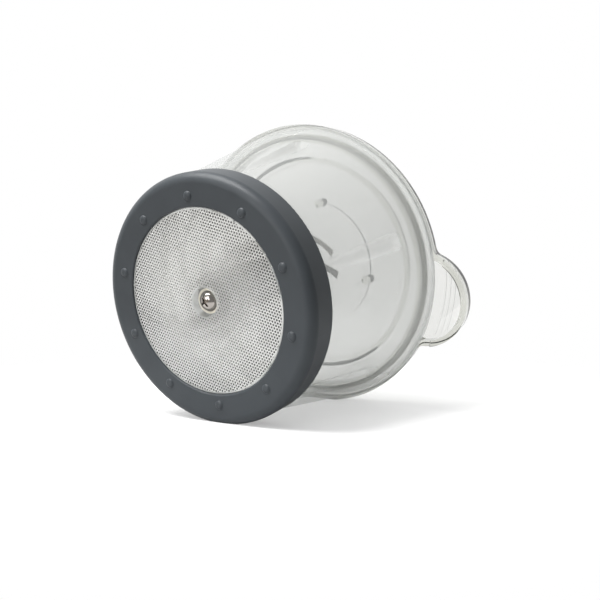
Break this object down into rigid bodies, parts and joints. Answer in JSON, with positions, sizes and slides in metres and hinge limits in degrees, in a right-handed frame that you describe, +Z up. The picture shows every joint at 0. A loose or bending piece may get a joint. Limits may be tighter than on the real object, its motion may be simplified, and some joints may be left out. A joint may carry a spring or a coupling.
{
  "type": "food chopper work bowl",
  "caption": "Clear fluted chopper bowl with a rubber non-slip ring, a pivot with hooked steel blades that spin, and a clear lid with a thumb tab that lifts off.",
  "frame": {"origin": "on the bowl's axis, in the plane that the pips of the non-slip ring stand on", "axes": "+Z up along the bowl's axis towards the lid, +X towards the lid's thumb tab"},
  "size_m": [0.1603, 0.1432, 0.0963],
  "materials": {
    "clear_bowl": "clear moulded plastic, polished, with a fine pyramid texture under the floor",
    "clear_lid": "clear moulded plastic, polished",
    "ring_rubber": "satin blue-grey rubber",
    "screw_chrome": "polished",
    "post_steel": "turned stainless steel",
    "blade_steel": "polished stainless sheet with ground edges",
    "carrier_plastic": "satin charcoal plastic",
    "bearing_plastic": "natural white bearing plastic",
    "clear_silicone": "translucent silicone"
  },
  "bodies": {
    "base": {"bowl": "clear_bowl", "non_slip_ring": "ring_rubber", "pivot_screw": "screw_chrome", "screw_washer": "clear_silicone", "post_gasket": "clear_silicone", "pivot_post": "post_steel", "thrust_washer": "bearing_plastic"},
    "blades": {"blade_carrier": "carrier_plastic", "lower_bush": "bearing_plastic", "upper_bush": "bearing_plastic", "lower_blade": "blade_steel", "blade_spacer": "carrier_plastic", "upper_blade": "blade_steel", "blade_nut": "carrier_plastic", "drive_cap": "carrier_plastic"},
    "cover": {"lid": "clear_lid", "lid_seal": "clear_silicone"}
  },
  "joints": [
    {"name": "blade_spin", "type": "hinge", "parent": "base", "child": "blades", "pos_m": [0, 0, 0.0137], "axis": [0, 0, 1], "continuous": true},
    {"name": "lid_lift", "type": "slide", "parent": "base", "child": "cover", "axis": [0, 0, 1], "range_m": [0, 0.06]}
  ]
}
